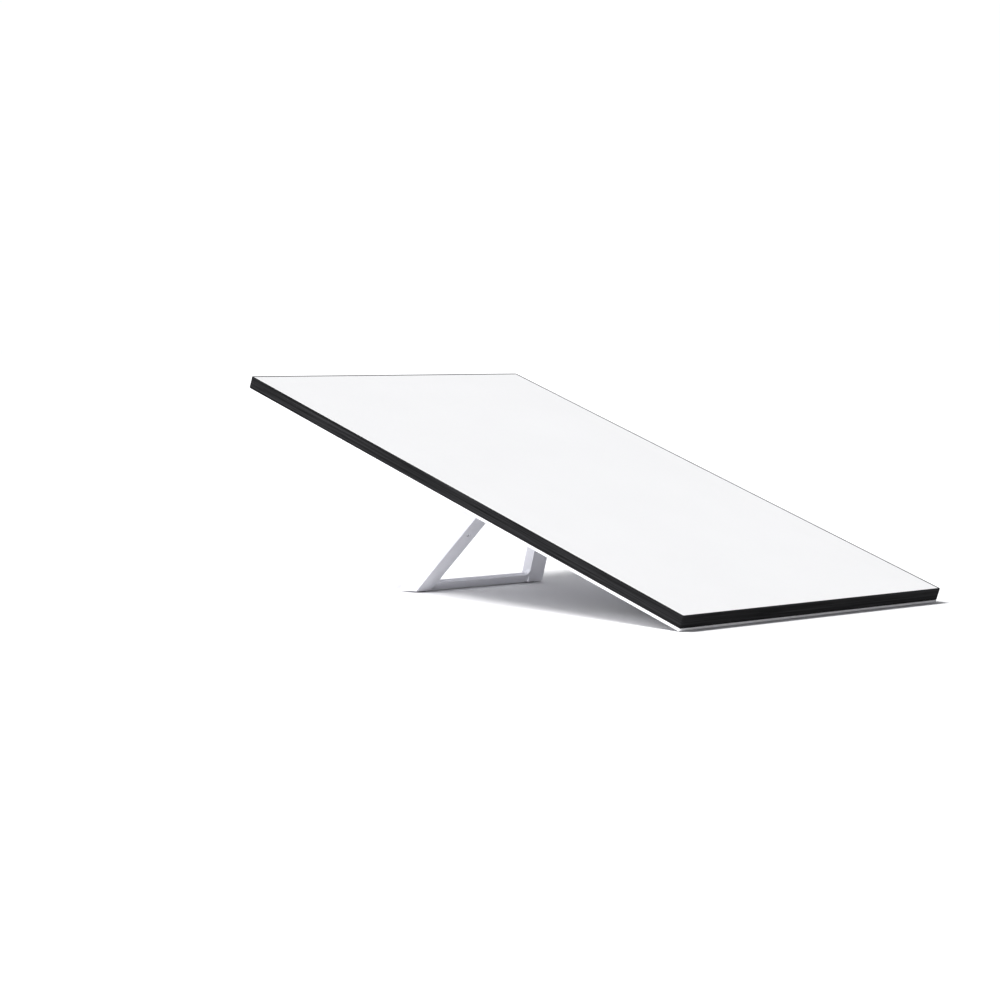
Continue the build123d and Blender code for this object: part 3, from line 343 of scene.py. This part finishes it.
world = bpy.data.worlds.new("studio")
scene.world = world
world.use_nodes = True
sky = world.node_tree
ground_sky = sky.nodes["Background"]
direction = sky.nodes.new("ShaderNodeTexCoord").outputs["Generated"]
split = sky.nodes.new("ShaderNodeSeparateXYZ")
sky.links.new(direction, split.inputs[0])


def sky_math(kind, first, second):
    node = sky.nodes.new("ShaderNodeMath")
    node.operation = kind
    for socket, value in zip(node.inputs, (first, second)):
        if isinstance(value, bpy.types.NodeSocket):
            sky.links.new(value, socket)
        else:
            socket.default_value = value
    return node.outputs[0]


# a dim studio, a little brighter from the back, the left and overhead
FROM_BACK, FROM_TOP, FROM_LEFT, ALL_ROUND, DARKEST = 0.18, 0.16, -0.10, 0.25, 0.08
back = sky_math("MULTIPLY", split.outputs["Y"], FROM_BACK)
top = sky_math("MULTIPLY", split.outputs["Z"], FROM_TOP)
left = sky_math("MULTIPLY", split.outputs["X"], FROM_LEFT)
level = sky_math("ADD", sky_math("ADD", back, top), sky_math("ADD", left, ALL_ROUND))
level = sky_math("MAXIMUM", level, DARKEST)

# a lit white screen behind the object, fading between two angles from its middle
SCREEN_LEVEL, SCREEN_EDGE, SCREEN_FULL, SCREEN_RISE = 1.04, 34, 17, 0.04
towards = sky.nodes.new("ShaderNodeVectorMath")
towards.operation = "DOT_PRODUCT"
sky.links.new(direction, towards.inputs[0])
towards.inputs[1].default_value = Vector((math.sin(YAW), math.cos(YAW), SCREEN_RISE)).normalized()
screen = sky.nodes.new("ShaderNodeMapRange")
screen.interpolation_type = "SMOOTHSTEP"
sky.links.new(towards.outputs["Value"], screen.inputs["Value"])
screen.inputs["From Min"].default_value = math.cos(math.radians(SCREEN_EDGE))
screen.inputs["From Max"].default_value = math.cos(math.radians(SCREEN_FULL))
level = sky_math("MAXIMUM", level, sky_math("MULTIPLY", screen.outputs["Result"], SCREEN_LEVEL))
ground_sky.inputs["Color"].default_value = (0.975, 0.985, 1.03, 1.0)
sky.links.new(level, ground_sky.inputs["Strength"])


def softbox(name, shines, energy, angle, colour):
    """A far, soft light; shines is the direction of its rays."""
    lamp = bpy.data.lights.new(name, "SUN")
    lamp.energy = energy
    lamp.angle = math.radians(angle)
    lamp.color = colour
    holder = bpy.data.objects.new(name, lamp)
    holder.rotation_euler = Vector(shines).to_track_quat("-Z", "Y").to_euler()
    scene.collection.objects.link(holder)


softbox("key", (0.52, -0.26, -0.81), 3.85, 20, (1.0, 0.997, 0.99))
softbox("low_side_fill", (1.0, 0.30, -0.02), 1.6, 3, (1.0, 1.0, 1.0))

# ---------------------------------------------------------------- camera
forward = Vector((math.sin(YAW) * math.cos(PITCH), math.cos(YAW) * math.cos(PITCH), math.sin(PITCH)))
right = Vector((math.cos(YAW), -math.sin(YAW), 0))
up = right.cross(forward)
right, up = (
    math.cos(ROLL) * right + math.sin(ROLL) * up,
    -math.sin(ROLL) * right + math.cos(ROLL) * up,
)
camera_data = bpy.data.cameras.new("camera")
camera_data.sensor_width = SENSOR_MM
camera_data.lens = LENS_MM
camera_data.shift_x = SHIFT_X
camera_data.shift_y = SHIFT_Y
camera_data.clip_end = 200
camera = bpy.data.objects.new("camera", camera_data)
scene.collection.objects.link(camera)
rotation = Matrix((right, up, -forward)).transposed().to_4x4()
camera.matrix_world = Matrix.Translation(CAMERA_AT) @ rotation
scene.camera = camera
